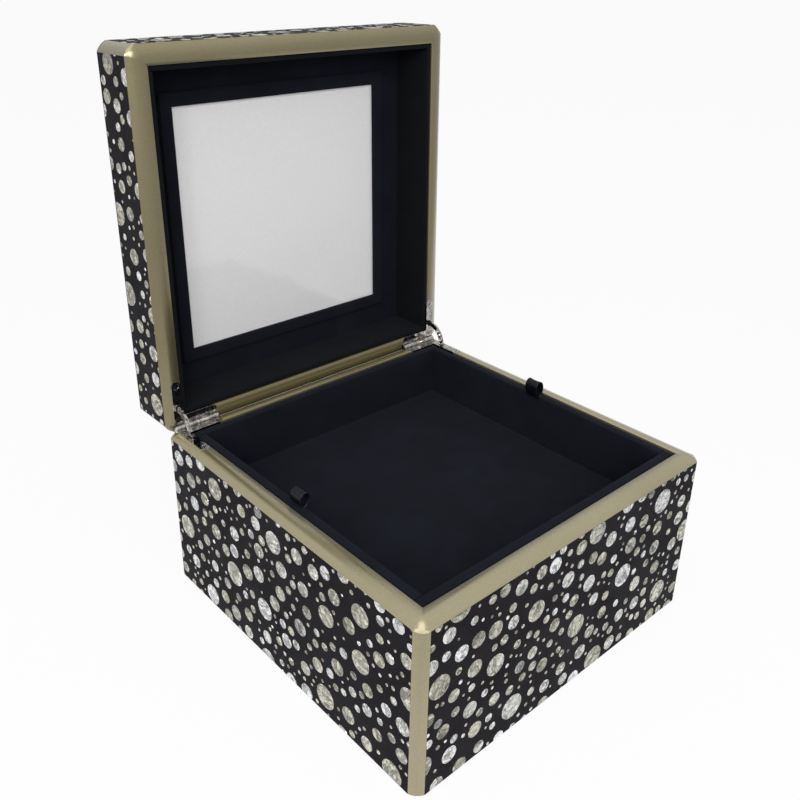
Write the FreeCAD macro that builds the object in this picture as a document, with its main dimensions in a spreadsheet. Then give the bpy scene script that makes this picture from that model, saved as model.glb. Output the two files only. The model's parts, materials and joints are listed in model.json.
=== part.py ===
# Square accessory box with a mirrored lid, a lift-out tray and two quadrant hinges.
# Millimetres. +X runs to the right along the hinge, +Y to the back, +Z up.
# The origin is the middle of the underside. The lid stands open on its stays.

import FreeCAD, Part
import Sketcher
import os
import re

doc = FreeCAD.newDocument("accessory_box")

# Driving dimensions

SIZES = [
    # case
    ("box_width", "250", "outside, along the hinge"),
    ("box_depth", "250", "outside, front to back"),
    ("base_height", "116.2", "table to the rim of the base"),
    ("lid_height", "38.8", "rim of the lid to its top"),
    ("parting_gap", "0.4", "between the two rims with the lid shut"),
    ("wall", "12.2", "side boards, outer face to inner face"),
    ("corner", "6.4", "each leg of the cut-off vertical corners"),
    ("corner_bow", "0.9", "how far the cut corner bulges from flat"),
    ("rim_drop", "3.35", "fall of both crowned rims to the outer faces"),
    ("rim_crown", "10", "crowned part of both rims, across"),
    ("veneer", "0.8", "dotted cover sheet, let in flush"),
    # base
    ("felt", "1.2", "underside felt"),
    ("felt_inset", "0.6", "felt edge behind the outer faces"),
    ("bottom_board", "5", "base bottom"),
    ("floor_liner", "1.4", "lining on the base bottom"),
    ("base_liner", "3", "lining boards of the base, which carry the tray"),
    # tray
    ("tray_drop", "0.4", "tray edge below the rim"),
    ("tray_height", "40.6", "underside of the tray to its edge"),
    ("tray_gap", "0.8", "tray to the side boards"),
    ("tray_wall", "6.5", "tray sides"),
    ("tray_board", "3", "tray bottom"),
    ("tray_pad", "1", "lining on the tray bottom"),
    ("ribbon_width", "10", "pull ribbon, across"),
    ("ribbon_loop", "4.4", "outer radius of the pull loop"),
    ("ribbon_thick", "0.6", "satin ribbon"),
    ("ribbon_sink", "1.2", "loop below the tray edge"),
    ("right_rise", "3.6", "straight part of the right pull loop"),
    ("left_rise", "0.6", "straight part of the left pull loop, which is pushed down"),
    ("ribbon_clear", "0.7", "loop to the lining of the shut lid"),
    # lid
    ("top_board", "2.6", "panel of the lid"),
    ("ceiling", "1.4", "lining under the panel, as thick as the mirror"),
    ("lid_liner", "3.4", "lining boards of the lid"),
    ("liner_drop", "0.8", "lining edge behind the lid's rim"),
    ("frame_margin", "17.4", "lid lining to the mirror frame"),
    ("frame_band", "8.7", "mirror frame, across its face"),
    ("frame_thick", "3", "mirror frame"),
    ("mirror_lap", "2.7", "mirror glass behind the frame"),
    ("mirror_gap", "0.3", "mirror glass to the lining round it"),
    # hinges
    ("open_angle", "91", "lid held open by the stays"),
    ("rim_clear", "0.12", "between the edges of the two rims with the lid open"),
    ("leaf_reach", "38", "outer face to the ends of both legs"),
    ("leaf_edge", "5.6", "outer face to the outer edge of the leaf"),
    ("leaf_round", "3", "inner corner at the end of the back legs"),
    ("leaf_thick", "2", "leaf plate"),
    ("barrel_radius", "2.4", "hinge barrel"),
    ("barrel_clear", "0.3", "barrel to the other leaf and to the boards"),
    ("knuckle_gap", "0.2", "between knuckles"),
    ("pin_radius", "1.2", "hinge pin"),
    ("pin_clear", "0.05", "pin to its bore"),
    ("stay_room", "1.9", "corner screw's hole to the stay's mortise"),
    ("stay_width", "3.8", "stay strip, across"),
    ("stay_thick", "1.6", "stay strip"),
    ("stay_clear", "0.4", "stay to its slots and mortises"),
    ("knob_radius", "0.9", "stop knobs at the stay's ends"),
    ("knob_length", "3.4", "stop knobs, side to side"),
    ("knob_gap", "0.2", "open stay's knobs to the leaves"),
    ("knob_margin", "0.8", "strip past each knob"),
    ("screw_head", "2.1", "countersunk head radius"),
    ("screw_sink", "1.1", "countersunk head depth"),
    ("screw_shank", "1.1", "shank radius"),
    ("screw_length", "7", "whole screw, short of the stay's mortise"),
    ("screw_clear", "0.1", "screw to its hole"),
    ("screw_setback", "3.6", "end screws from the ends of the legs"),
    ("cross_length", "2.4", "cross recess"),
    ("cross_width", "0.5", "cross recess"),
    ("cross_depth", "0.6", "cross recess"),
    # all cuts run past the solid by this much
    ("overrun", "1", "tools beyond what they cut"),
]

# Places worked out from the driving dimensions

PLACES = [
    ("half_width", "box_width / 2"),
    ("half_depth", "box_depth / 2"),
    ("inner_x", "half_width - wall"),
    ("inner_y", "half_depth - wall"),
    ("corner_radius", "corner ^ 2 / (4 * corner_bow) + corner_bow / 2"),
    ("crown_radius", "(rim_crown ^ 2 + rim_drop ^ 2) / (2 * rim_drop)"),
    ("crown_over", "crown_radius - rim_crown"),
    ("corner_reach", "(half_width + half_depth - corner) / sqrt(2)"),
    ("floor_top", "felt + bottom_board + floor_liner"),
    ("tray_top", "base_height - tray_drop"),
    ("tray_bottom", "tray_top - tray_height"),
    ("tray_x", "inner_x - tray_gap"),
    ("tray_y", "inner_y - tray_gap"),
    ("lid_rim", "base_height + parting_gap"),
    ("lid_top", "lid_rim + lid_height"),
    ("panel_top", "lid_top - veneer"),
    ("panel_bottom", "panel_top - top_board"),
    ("ceiling_face", "panel_bottom - ceiling"),
    ("frame_face", "ceiling_face - frame_thick"),
    ("frame_x", "inner_x - lid_liner - frame_margin"),
    ("frame_y", "inner_y - lid_liner - frame_margin"),
    ("mirror_x", "frame_x - frame_band + mirror_lap"),
    ("mirror_y", "frame_y - frame_band + mirror_lap"),
    ("half_open", "open_angle / 2"),
    ("hinge_inset", "(cos(half_open) * (rim_drop + parting_gap / 2) - rim_clear / 2) / sin(half_open)"),
    ("axis_y", "half_depth - hinge_inset"),
    ("axis_z", "base_height + parting_gap / 2"),
    ("barrel_low", "half_width - leaf_reach"),
    ("barrel_high", "half_width - leaf_edge"),
    ("barrel_free", "barrel_radius + barrel_clear"),
    ("side_leg_x", "half_width - (wall + leaf_edge) / 2"),
    ("side_leg_half", "(wall - leaf_edge) / 2"),
    ("side_leg_end", "half_depth - leaf_reach + side_leg_half"),
    ("back_leg_y", "half_depth - (wall + hinge_inset + barrel_free) / 2"),
    ("leg_end_x", "half_width - leaf_reach + screw_setback"),
    ("leg_end_y", "half_depth - leaf_reach + screw_setback"),
    ("leaf_depth", "leaf_thick + parting_gap / 2"),
    ("screw_side", "axis_y - back_leg_y + screw_shank + screw_clear"),
    ("screw_depth", "screw_length + screw_clear + parting_gap / 2"),
    ("screw_reach", "sqrt(screw_side ^ 2 + screw_depth ^ 2)"),
    ("stay_inner", "screw_reach + stay_room + stay_clear"),
    ("stay_outer", "stay_inner + stay_width"),
    ("stay_radius", "(stay_inner + stay_outer) / 2"),
    ("slot_near", "sqrt((stay_inner - stay_clear) ^ 2 - leaf_depth ^ 2)"),
    ("slot_far", "stay_outer + stay_clear"),
    ("knob_angle", "asin((leaf_depth + knob_gap + knob_radius) / stay_radius) / 1 deg"),
    ("toe_angle", "knob_angle + (knob_radius + knob_margin) / stay_radius * 1 rad / 1 deg"),
    ("ribbon_x", "inner_x - lid_liner - ribbon_clear - ribbon_loop"),
    ("ribbon_z", "tray_top + ribbon_loop - ribbon_sink"),
]

KNUCKLES = 5
TOLERANCE = 1e-6

sheet = doc.addObject("Spreadsheet::Sheet", "Sizes")
ALIASES = [row[0] for row in SIZES] + [row[0] for row in PLACES]
WORD = re.compile(r"[A-Za-z_]+")


def on_sheet(formula, prefix="Sizes."):
    """The formula with each alias of the sheet written as a reference."""
    return WORD.sub(lambda found: prefix + found[0] if found[0] in ALIASES else found[0], formula)


def fill_sheet():
    for row, (alias, value, note) in enumerate(SIZES, start=1):
        sheet.set("A%d" % row, note)
        sheet.set("B%d" % row, value)
        sheet.setAlias("B%d" % row, alias)
    for row, (alias, formula) in enumerate(PLACES, start=1):
        sheet.set("D%d" % row, "=" + on_sheet(formula, prefix=""))
        sheet.setAlias("D%d" % row, alias)
    doc.recompute()


def bind(obj, prop, formula):
    obj.setExpression(prop, on_sheet(formula))


def at(obj, x="0", y="0", z="0"):
    for axis, formula in zip("xyz", (x, y, z)):
        bind(obj, "Placement.Base." + axis, formula)
    return obj


# Shapes whose sizes follow the sheet

ALONG_X = FreeCAD.Rotation(FreeCAD.Vector(0, 1, 0), 90)
ALONG_Y = FreeCAD.Rotation(FreeCAD.Vector(1, 0, 0), -90)
UPSIDE_DOWN = FreeCAD.Rotation(FreeCAD.Vector(1, 0, 0), 180)


def block(name, x, y, z):
    """A box between a low and a high formula on each axis."""
    box = doc.addObject("Part::Box", name)
    for prop, (low, high) in zip(("Length", "Width", "Height"), (x, y, z)):
        bind(box, prop, "(%s) - (%s)" % (high, low))
    return at(box, x[0], y[0], z[0])


def centred(size):
    """From minus to plus a half size."""
    return "-(%s)" % size, size


def rod(name, radius, length, x, y, z, turn):
    bar = doc.addObject("Part::Cylinder", name)
    bind(bar, "Radius", radius)
    bind(bar, "Height", length)
    bar.Placement = FreeCAD.Placement(FreeCAD.Vector(), turn)
    return at(bar, x, y, z)


def fuse(name, *pieces):
    joined = doc.addObject("Part::MultiFuse", name)
    joined.Shapes = list(pieces)
    return joined


def cut(name, base, *tools):
    result = doc.addObject("Part::Cut", name)
    result.Base = base
    result.Tool = tools[0] if len(tools) == 1 else fuse(name + "_tools", *tools)
    return result


def common(name, base, tool):
    result = doc.addObject("Part::Common", name)
    result.Base = base
    result.Tool = tool
    return result


def group(name, *pieces):
    result = doc.addObject("Part::Compound", name)
    result.Links = list(pieces)
    return result


def mirrored(name, source):
    """The same piece on the left-hand side."""
    result = doc.addObject("Part::Mirroring", name)
    result.Source = source
    result.Normal = FreeCAD.Vector(1, 0, 0)
    return result


def outline_sketch(body, inset):
    """The box in plan: four sides joined by slightly bowed cut corners."""
    sketch = body.newObject("Sketcher::SketchObject", body.Name + "_outline")
    plane = [f for f in body.Origin.OriginFeatures if f.Role == "XY_Plane"][0]
    sketch.AttachmentSupport = [(plane, "")]
    sketch.MapMode = "FlatFace"

    x = sheet.half_width - sheet.get(inset) if inset else sheet.half_width
    y = sheet.half_depth - sheet.get(inset) if inset else sheet.half_depth
    leg = sheet.corner
    points = [(-x + leg, -y), (x - leg, -y), (x, -y + leg), (x, y - leg),
              (x - leg, y), (-x + leg, y), (-x, y - leg), (-x, -y + leg)]
    points = [FreeCAD.Vector(px, py, 0) for px, py in points]
    bow = sheet.corner_bow
    for i in range(0, len(points), 2):
        start, end, after = points[i], points[i + 1], points[(i + 2) % len(points)]
        sketch.addGeometry(Part.LineSegment(start, end))
        middle = (end + after) / 2
        bulge = middle + FreeCAD.Vector(middle.x, middle.y, 0).normalize() * bow
        sketch.addGeometry(Part.Arc(end, bulge, after))

    start_point, end_point, origin = 1, 2, (-1, 1)
    for i in range(8):
        after = (i + 1) % 8
        sketch.addConstraint(Sketcher.Constraint("Coincident", i, end_point, after, start_point))
    for i, way in ((0, "Horizontal"), (2, "Vertical"), (4, "Horizontal"), (6, "Vertical")):
        sketch.addConstraint(Sketcher.Constraint(way, i))

    def hold(kind, geometry, point, value, formula):
        ends = (geometry, point), origin
        first, second = ends if value < 0 else ends[::-1]
        index = sketch.addConstraint(Sketcher.Constraint(kind, *first, *second, abs(value)))
        bind(sketch, "Constraints[%d]" % index, formula)

    side_x = "half_width - " + (inset or "0")
    side_y = "half_depth - " + (inset or "0")
    for side, across in ((0, -y), (4, y)):
        hold("DistanceY", side, start_point, across, side_y)
        for point in (start_point, end_point):
            hold("DistanceX", side, point, points[side + point - 1].x, side_x + " - corner")
    for side, across in ((2, x), (6, -x)):
        hold("DistanceX", side, start_point, across, side_x)
        for point in (start_point, end_point):
            hold("DistanceY", side, point, points[side + point - 1].y, side_y + " - corner")
    for arc in (1, 3, 5, 7):
        index = sketch.addConstraint(Sketcher.Constraint("Radius", arc, sheet.corner_radius))
        bind(sketch, "Constraints[%d]" % index, "corner_radius")
    return sketch


def slab(name, bottom, top, inset=None):
    """The plan outline between two heights."""
    body = doc.addObject("PartDesign::Body", name)
    sketch = outline_sketch(body, inset)
    pad = body.newObject("PartDesign::Pad", name + "_pad")
    pad.Profile = sketch
    bind(pad, "Length", "(%s) - (%s)" % (top, bottom))
    return at(body, z=bottom)


# Straight bars across the box whose crowned edges shape the rims: turn about Z and half width

RIDGES = [(0, "half_depth"), (90, "half_width"), (45, "corner_reach"), (135, "corner_reach")]


def ridge(name, reach, turn, bottom, top, rim):
    """A bar that reaches past the box on both sides, with both long edges rounded at its rim."""
    body = doc.addObject("PartDesign::Body", name)
    bar = body.newObject("PartDesign::AdditiveBox", name + "_bar")
    half_length, half_across = "half_width + half_depth", reach + " + crown_over"
    bind(bar, "Length", "2 * (%s)" % half_length)
    bind(bar, "Width", "2 * (%s)" % half_across)
    bind(bar, "Height", "(%s) - (%s)" % (top, bottom))
    at(bar, "-(%s)" % half_length, "-(%s)" % half_across, bottom)
    doc.recompute()
    box = bar.Shape.BoundBox
    level = box.ZMin if rim == bottom else box.ZMax
    long_edges = []
    for i, edge in enumerate(bar.Shape.Edges, start=1):
        if abs(edge.CenterOfMass.z - level) < TOLERANCE and edge.BoundBox.XLength > box.XLength / 2:
            long_edges.append("Edge%d" % i)
    crown = body.newObject("PartDesign::Fillet", name + "_crown")
    crown.Base = (bar, long_edges)
    bind(crown, "Radius", "crown_radius")
    body.Tip = crown
    body.Placement = FreeCAD.Placement(FreeCAD.Vector(), FreeCAD.Rotation(FreeCAD.Vector(0, 0, 1), turn))
    return body


def crowned(name, bottom, top, rim):
    """The box's outline between two heights, its rim falling in a curve to the outer faces."""
    shape = slab(name + "_slab", bottom, top)
    for index, (turn, reach) in enumerate(RIDGES):
        across = ridge("%s_ridge_%d" % (name, index), reach, turn, bottom, top, rim)
        shape = common("%s_%d" % (name, index), shape, across)
    return shape


# The four sides of a ring: name, turn about Z, face position, half length

SIDES = [
    ("front", 0, ("0", "-half_depth"), "half_width"),
    ("right", 90, ("half_width", "0"), "half_depth"),
    ("back", 180, ("0", "half_depth"), "half_width"),
    ("left", 270, ("-half_width", "0"), "half_depth"),
]


def mitre(name, turn, face, half_length, bottom, top):
    """The region of one side board, between two mitre planes."""
    wedge = doc.addObject("Part::Wedge", name)
    reach = "2 * wall"
    for prop, formula in (
        ("Xmin", "-%s - overrun" % half_length), ("Xmax", "%s + overrun" % half_length),
        ("X2min", "-%s + %s" % (half_length, reach)), ("X2max", "%s - %s" % (half_length, reach)),
        ("Ymin", "-overrun"), ("Ymax", reach),
        ("Zmin", bottom + " - overrun"), ("Zmax", top + " + overrun"),
        ("Z2min", bottom + " - overrun"), ("Z2max", top + " + overrun"),
    ):
        bind(wedge, prop, formula)
    facing = FreeCAD.Rotation(FreeCAD.Vector(0, 0, 1), turn)
    wedge.Placement = FreeCAD.Placement(FreeCAD.Vector(), facing)
    return at(wedge, face[0], face[1])


def cover_sheets(prefix, bottom, top):
    """The four dotted side sheets, between the cut corners."""
    along_x, along_y = centred("half_width - corner"), centred("half_depth - corner")
    height = (bottom, top)
    return {
        "front": block(prefix + "_front_veneer", along_x, ("-half_depth", "veneer - half_depth"), height),
        "back": block(prefix + "_back_veneer", along_x, ("half_depth - veneer", "half_depth"), height),
        "left": block(prefix + "_left_veneer", ("-half_width", "veneer - half_width"), along_y, height),
        "right": block(prefix + "_right_veneer", ("half_width - veneer", "half_width"), along_y, height),
    }


def lining(prefix, suffix, half_x, half_y, thick, bottom, top):
    """Four boards standing inside a rectangle: front and back run full length."""
    side_y = centred("%s - %s" % (half_y, thick))
    height = (bottom, top)
    names = [prefix + "_%s_" % side + suffix for side in ("front", "back", "left", "right")]
    return [
        block(names[0], centred(half_x), ("-(%s)" % half_y, "%s - (%s)" % (thick, half_y)), height),
        block(names[1], centred(half_x), ("%s - %s" % (half_y, thick), half_y), height),
        block(names[2], ("-(%s)" % half_x, "%s - (%s)" % (thick, half_x)), side_y, height),
        block(names[3], ("%s - %s" % (half_x, thick), half_x), side_y, height),
    ]


# Hinges, drawn shut on the right-hand side

def barrel_rod(name, radius, low, high):
    """A rod on the hinge axis between two places along X."""
    return rod(name, radius, "(%s) - (%s)" % (high, low), low, "axis_y", "axis_z", ALONG_X)


def knuckle_span(index, gap):
    pitch = "(barrel_high - barrel_low) / %d" % KNUCKLES
    low = "barrel_low + %d * %s + %s" % (index, pitch, gap)
    high = "barrel_low + %d * %s - %s" % (index + 1, pitch, gap)
    return low, high


SCREW_PLACES = [("corner", "side_leg_x", "back_leg_y"),
                ("side", "side_leg_x", "leg_end_y"),
                ("back", "leg_end_x", "back_leg_y")]


def screw_shape(name, head, sink, shank, length):
    """Countersunk screw with its head flush at the origin, pointing down."""
    cone = doc.addObject("Part::Cone", name + "_head")
    bind(cone, "Radius1", shank)
    bind(cone, "Radius2", head)
    bind(cone, "Height", sink)
    at(cone, z="-(%s)" % sink)
    stem = rod(name + "_shank", shank, length, "0", "0", "-(%s)" % length, FreeCAD.Rotation())
    return fuse(name, cone, stem)


def place_copies(name, source, level, turn):
    """One copy of a screw or of its hole at each place on the leaf."""
    copies = []
    for place, x, y in SCREW_PLACES:
        copy = group("%s_%s" % (name, place), source)
        copy.Placement = FreeCAD.Placement(FreeCAD.Vector(), turn)
        copies.append(at(copy, x, y, level))
    return copies


def leaf_plan(name, level, spare):
    """Two legs with rounded ends between two levels, running past the inner faces by the spare."""
    depth = "(%s) - (%s)" % (level[1], level[0])
    upright = FreeCAD.Rotation()
    corner_x, corner_y = "barrel_low + leaf_round", "inner_y + leaf_round"
    return fuse(
        name,
        block(name + "_back_leg", (corner_x, "barrel_high"), ("inner_y - " + spare, "axis_y"), level),
        block(name + "_back_end", ("barrel_low", corner_x), (corner_y, "axis_y"), level),
        rod(name + "_back_round", "leaf_round", depth, corner_x, corner_y, level[0], upright),
        block(name + "_side_leg", ("inner_x - " + spare, "barrel_high"), ("side_leg_end", "axis_y"), level),
        rod(name + "_side_round", "side_leg_half", depth, "side_leg_x", "side_leg_end", level[0], upright),
    )


def leaf(name, own, others, level, holes):
    """L-shaped plate with its knuckles, screw holes and stay slot."""
    plate = leaf_plan(name + "_plate", level, "0")
    reliefs = []
    for index in others:
        low, high = knuckle_span(index, "-knuckle_gap / 2")
        reliefs.append(barrel_rod("%s_relief_%d" % (name, index), "barrel_free", low, high))
    slot_half = "(stay_thick / 2 + stay_clear)"
    slot = block(name + "_slot", ("side_leg_x - " + slot_half, "side_leg_x + " + slot_half),
                 ("axis_y - slot_far", "axis_y - slot_near"),
                 (level[0] + " - overrun", level[1] + " + overrun"))
    plate = cut(name + "_cut", plate, *reliefs, slot, *holes)
    knuckles = []
    for index in own:
        low, high = knuckle_span(index, "knuckle_gap / 2")
        knuckles.append(barrel_rod("%s_knuckle_%d" % (name, index), "barrel_radius", low, high))
    solid = fuse(name + "_solid", plate, *knuckles)
    bore = barrel_rod(name + "_bore", "pin_radius + pin_clear",
                      "barrel_low - overrun", "barrel_high + overrun")
    return cut("right_" + name, solid, bore)


def arc_strip(name, thick, inner, outer, angle, way, symmetric):
    """A curved strip about the hinge axis, starting from the parting plane."""
    section = doc.addObject("Part::Plane", name + "_section")
    bind(section, "Length", thick)
    bind(section, "Width", "(%s) - (%s)" % (outer, inner))
    at(section, "side_leg_x - (%s) / 2" % thick, "axis_y - (%s)" % outer, "axis_z")
    strip = doc.addObject("Part::Revolution", name)
    strip.Source = section
    strip.Axis = FreeCAD.Vector(way, 0, 0)
    strip.Solid = True
    strip.Symmetric = symmetric
    bind(strip, "Base.y", "axis_y")
    bind(strip, "Base.z", "axis_z")
    bind(strip, "Angle", angle)
    return strip


def stay():
    """Curved stay, half in the lid and half in the base when shut, with a stop knob at each end."""
    strip = arc_strip("stay_strip", "stay_thick", "stay_inner", "stay_outer",
                      "open_angle + 2 * toe_angle", 1, True)
    knobs = []
    for end, sign in (("base", "-"), ("lid", "")):
        y = "axis_y - stay_radius * cos(half_open + knob_angle)"
        z = "axis_z + %s(stay_radius * sin(half_open + knob_angle))" % sign
        low_x = "side_leg_x - knob_length / 2"
        knobs.append(rod("stay_%s_knob" % end, "knob_radius", "knob_length", low_x, y, z, ALONG_X))
    return fuse("right_stay_shut", strip, *knobs)


def mortise(name, way):
    """Room for the stay inside a side board."""
    reach = "half_open + toe_angle + stay_clear / stay_radius * 1 rad / 1 deg"
    return arc_strip(name, "knob_length + 2 * stay_clear", "stay_inner - stay_clear",
                     "stay_outer + stay_clear", reach, way, False)


def hinge_pockets(prefix, level, barrel, stay_room, holes):
    """Everything a rim loses for one pair of hinges."""
    plate = leaf_plan(prefix + "_leaf_room", level, "overrun")
    right = fuse(prefix + "_pockets_right", plate, barrel, stay_room, *holes)
    return right, mirrored(prefix + "_pockets_left", right)


def swung(name, shut, angle):
    """The piece turned open about the hinge axis."""
    piece = group(name, shut)
    turn = FreeCAD.Rotation(FreeCAD.Vector(-1, 0, 0), sheet.get(angle))
    piece.Placement = FreeCAD.Placement(FreeCAD.Vector(), turn)
    bind(piece, "Placement.Rotation.Angle", angle)
    bind(piece, "Placement.Base.y", "axis_y - axis_y * cos(%s) - axis_z * sin(%s)" % (angle, angle))
    bind(piece, "Placement.Base.z", "axis_z + axis_y * sin(%s) - axis_z * cos(%s)" % (angle, angle))
    return piece


nodes = []


def keep(*pieces):
    nodes.extend(pieces)


def keep_open(*pieces):
    """Lid pieces, drawn shut, are kept as they stand open."""
    for shut in pieces:
        name = shut.Name
        shut.Label = name + "_shut"
        opened = swung(name + "_open", shut, "open_angle")
        opened.Label = name
        nodes.append(opened)


fill_sheet()

# Screw holes and screws, one set per leaf

hole = screw_shape("screw_hole", "screw_head + screw_clear", "screw_sink", "screw_shank + screw_clear",
                   "screw_length + screw_clear")
blank = screw_shape("screw_blank", "screw_head", "screw_sink", "screw_shank", "screw_length")
cross_long, cross_short = centred("cross_length / 2"), centred("cross_width / 2")
cross_level = ("-cross_depth", "overrun")
cross_x = block("cross_x", cross_long, cross_short, cross_level)
cross_y = block("cross_y", cross_short, cross_long, cross_level)
screw = cut("screw", blank, cross_x, cross_y)

base_holes = place_copies("base_hole", hole, "base_height", FreeCAD.Rotation())
lid_holes = place_copies("lid_hole", hole, "lid_rim", UPSIDE_DOWN)
base_set = place_copies("base_screw", screw, "base_height", FreeCAD.Rotation())
lid_set = place_copies("lid_screw", screw, "lid_rim", UPSIDE_DOWN)
base_screws = group("base_screws_right", *base_set)
lid_screws = group("lid_screws_right", *lid_set)

# Base case: four mitred boards, their cover sheets, the bottom and the lining

base_level = ("base_height - leaf_thick", "base_height + overrun")
barrel_room = barrel_rod("barrel_room", "barrel_free",
                         "barrel_low - barrel_clear", "barrel_high + barrel_clear")
base_pockets = hinge_pockets("base", base_level, barrel_room, mortise("base_mortise", 1), base_holes)
base_covers = cover_sheets("base", "felt", "base_height - rim_drop")
base_void = block("base_void", centred("inner_x"), centred("inner_y"),
                  ("felt - overrun", "base_height + overrun"))
base_case = crowned("base_case", "felt", "base_height", "base_height")
base_ring = cut("base_ring", base_case, base_void, *base_covers.values(), *base_pockets)
for side, turn, face, half_length in SIDES:
    region = mitre("base_%s_mitre" % side, turn, face, half_length, "felt", "base_height")
    keep(common("base_%s_board" % side, base_ring, region), base_covers[side])
keep(block("base_bottom_board", centred("inner_x"), centred("inner_y"), ("felt", "felt + bottom_board")))
keep(block("base_floor_liner", centred("inner_x"), centred("inner_y"),
           ("felt + bottom_board", "floor_top")))
keep(*lining("base", "liner", "inner_x", "inner_y", "base_liner", "floor_top", "tray_bottom"))
keep(slab("base_felt", "0", "felt", inset="felt_inset"))

# Lid case, drawn shut above the base

lid_level = ("lid_rim - overrun", "lid_rim + leaf_thick")
lid_pockets = hinge_pockets("lid", lid_level, barrel_room, mortise("lid_mortise", -1), lid_holes)
lid_covers = cover_sheets("lid", "lid_rim + rim_drop", "panel_top")
lid_void = block("lid_void", centred("inner_x"), centred("inner_y"),
                 ("lid_rim - overrun", "panel_top + overrun"))
lid_case = crowned("lid_case", "lid_rim", "panel_top", "lid_rim")
lid_ring = cut("lid_ring", lid_case, lid_void, *lid_covers.values(), *lid_pockets)
for side, turn, face, half_length in SIDES:
    region = mitre("lid_%s_mitre" % side, turn, face, half_length, "lid_rim", "panel_top")
    keep_open(common("lid_%s_board" % side, lid_ring, region), lid_covers[side])
keep_open(block("lid_top_board", centred("inner_x"), centred("inner_y"), ("panel_bottom", "panel_top")))
keep_open(slab("lid_top_veneer", "panel_top", "lid_top"))
keep_open(*lining("lid", "liner", "inner_x", "inner_y", "lid_liner", "lid_rim + liner_drop", "ceiling_face"))

# Mirror, the lining round it and its frame

ceiling_level = ("ceiling_face", "panel_bottom")
ceiling_sheet = block("ceiling_sheet", centred("inner_x"), centred("inner_y"), ceiling_level)
ceiling_hole = block("ceiling_hole", centred("mirror_x + mirror_gap"), centred("mirror_y + mirror_gap"),
                     ("ceiling_face - overrun", "panel_bottom + overrun"))
keep_open(cut("lid_ceiling_liner", ceiling_sheet, ceiling_hole))
keep_open(block("mirror", centred("mirror_x"), centred("mirror_y"), ceiling_level))
frame_sheet = block("frame_sheet", centred("frame_x"), centred("frame_y"), ("frame_face", "ceiling_face"))
frame_hole = block("frame_hole", centred("frame_x - frame_band"), centred("frame_y - frame_band"),
                   ("frame_face - overrun", "ceiling_face + overrun"))
keep_open(cut("mirror_frame", frame_sheet, frame_hole))

# Hinges: leaves, pins, screws and stays

base_leaf = leaf("base_leaf", (0, 2, 4), (1, 3), ("base_height - leaf_thick", "base_height"), base_holes)
keep(base_leaf, mirrored("left_base_leaf", base_leaf))
hinge_pin = barrel_rod("right_hinge_pin", "pin_radius", "barrel_low", "barrel_high")
keep(hinge_pin, mirrored("left_hinge_pin", hinge_pin))
keep(group("base_hinge_screws", base_screws, mirrored("base_screws_left", base_screws)))

lid_leaf = leaf("lid_leaf", (1, 3), (0, 2, 4), ("lid_rim", "lid_rim + leaf_thick"), lid_holes)
keep_open(lid_leaf, mirrored("left_lid_leaf", lid_leaf))
keep_open(group("lid_hinge_screws", lid_screws, mirrored("lid_screws_left", lid_screws)))

right_stay_shut = stay()
keep(swung("right_stay", right_stay_shut, "half_open"))
keep(swung("left_stay", mirrored("left_stay_shut", right_stay_shut), "half_open"))

# Lift-out tray with a ribbon loop on each side

tray_sides = lining("tray", "wall", "tray_x", "tray_y", "tray_wall", "tray_bottom", "tray_top")
keep(*tray_sides)
tray_floor_x, tray_floor_y = centred("tray_x - tray_wall"), centred("tray_y - tray_wall")
keep(block("tray_floor", tray_floor_x, tray_floor_y, ("tray_bottom", "tray_bottom + tray_board")))
keep(block("tray_floor_pad", tray_floor_x, tray_floor_y,
           ("tray_bottom + tray_board", "tray_bottom + tray_board + tray_pad")))


def oval(name, radius, half_across, rise):
    """An upright oval bar across the tray's edge, on the right-hand side."""
    across = centred(half_across)
    length, crest = "2 * (%s)" % half_across, "ribbon_z + " + rise
    sides = ("ribbon_x - (%s)" % radius, "ribbon_x + (%s)" % radius)
    return fuse(
        name,
        rod(name + "_foot", radius, length, "ribbon_x", across[0], "ribbon_z", ALONG_Y),
        block(name + "_sides", sides, across, ("ribbon_z", crest)),
        rod(name + "_crest", radius, length, "ribbon_x", across[0], crest, ALONG_Y),
    )


def pull_ribbon(name, rise):
    """A loop of ribbon whose foot is let into the edge of the right tray wall."""
    outside = oval(name + "_outside", "ribbon_loop", "ribbon_width / 2", rise)
    inside = oval(name + "_inside", "ribbon_loop - ribbon_thick", "ribbon_width / 2 + overrun", rise)
    return cut(name, outside, inside, tray_sides[3])


keep(pull_ribbon("right_pull_ribbon", "right_rise"))
keep(mirrored("left_pull_ribbon", pull_ribbon("low_pull_ribbon", "left_rise")))

# Check every piece, then write one file for each

doc.recompute()
for obj in doc.Objects:
    if "Invalid" in obj.State or "Error" in obj.State:
        raise RuntimeError("%s failed: %s" % (obj.Label, obj.State))
for node in nodes:
    if node.Shape.isNull() or not node.Shape.isValid() or not node.Shape.Solids:
        raise RuntimeError("%s has no valid solid" % node.Label)

os.makedirs("parts", exist_ok=True)
for node in nodes:
    node.Shape.exportStep("parts/%s.step" % node.Label)
    print("%-22s solids %d  volume %.0f" % (node.Label, len(node.Shape.Solids), node.Shape.Volume))
print("%d nodes" % len(nodes))
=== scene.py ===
# Accessory box: finishes, glitter dots, linings, ribbons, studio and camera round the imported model.
# Metres in the model's own frame: +X to the right along the hinge, +Y to the back, +Z up.

import json
import math
import random

import bmesh
import bpy
from mathutils import Matrix, Vector, noise


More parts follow.
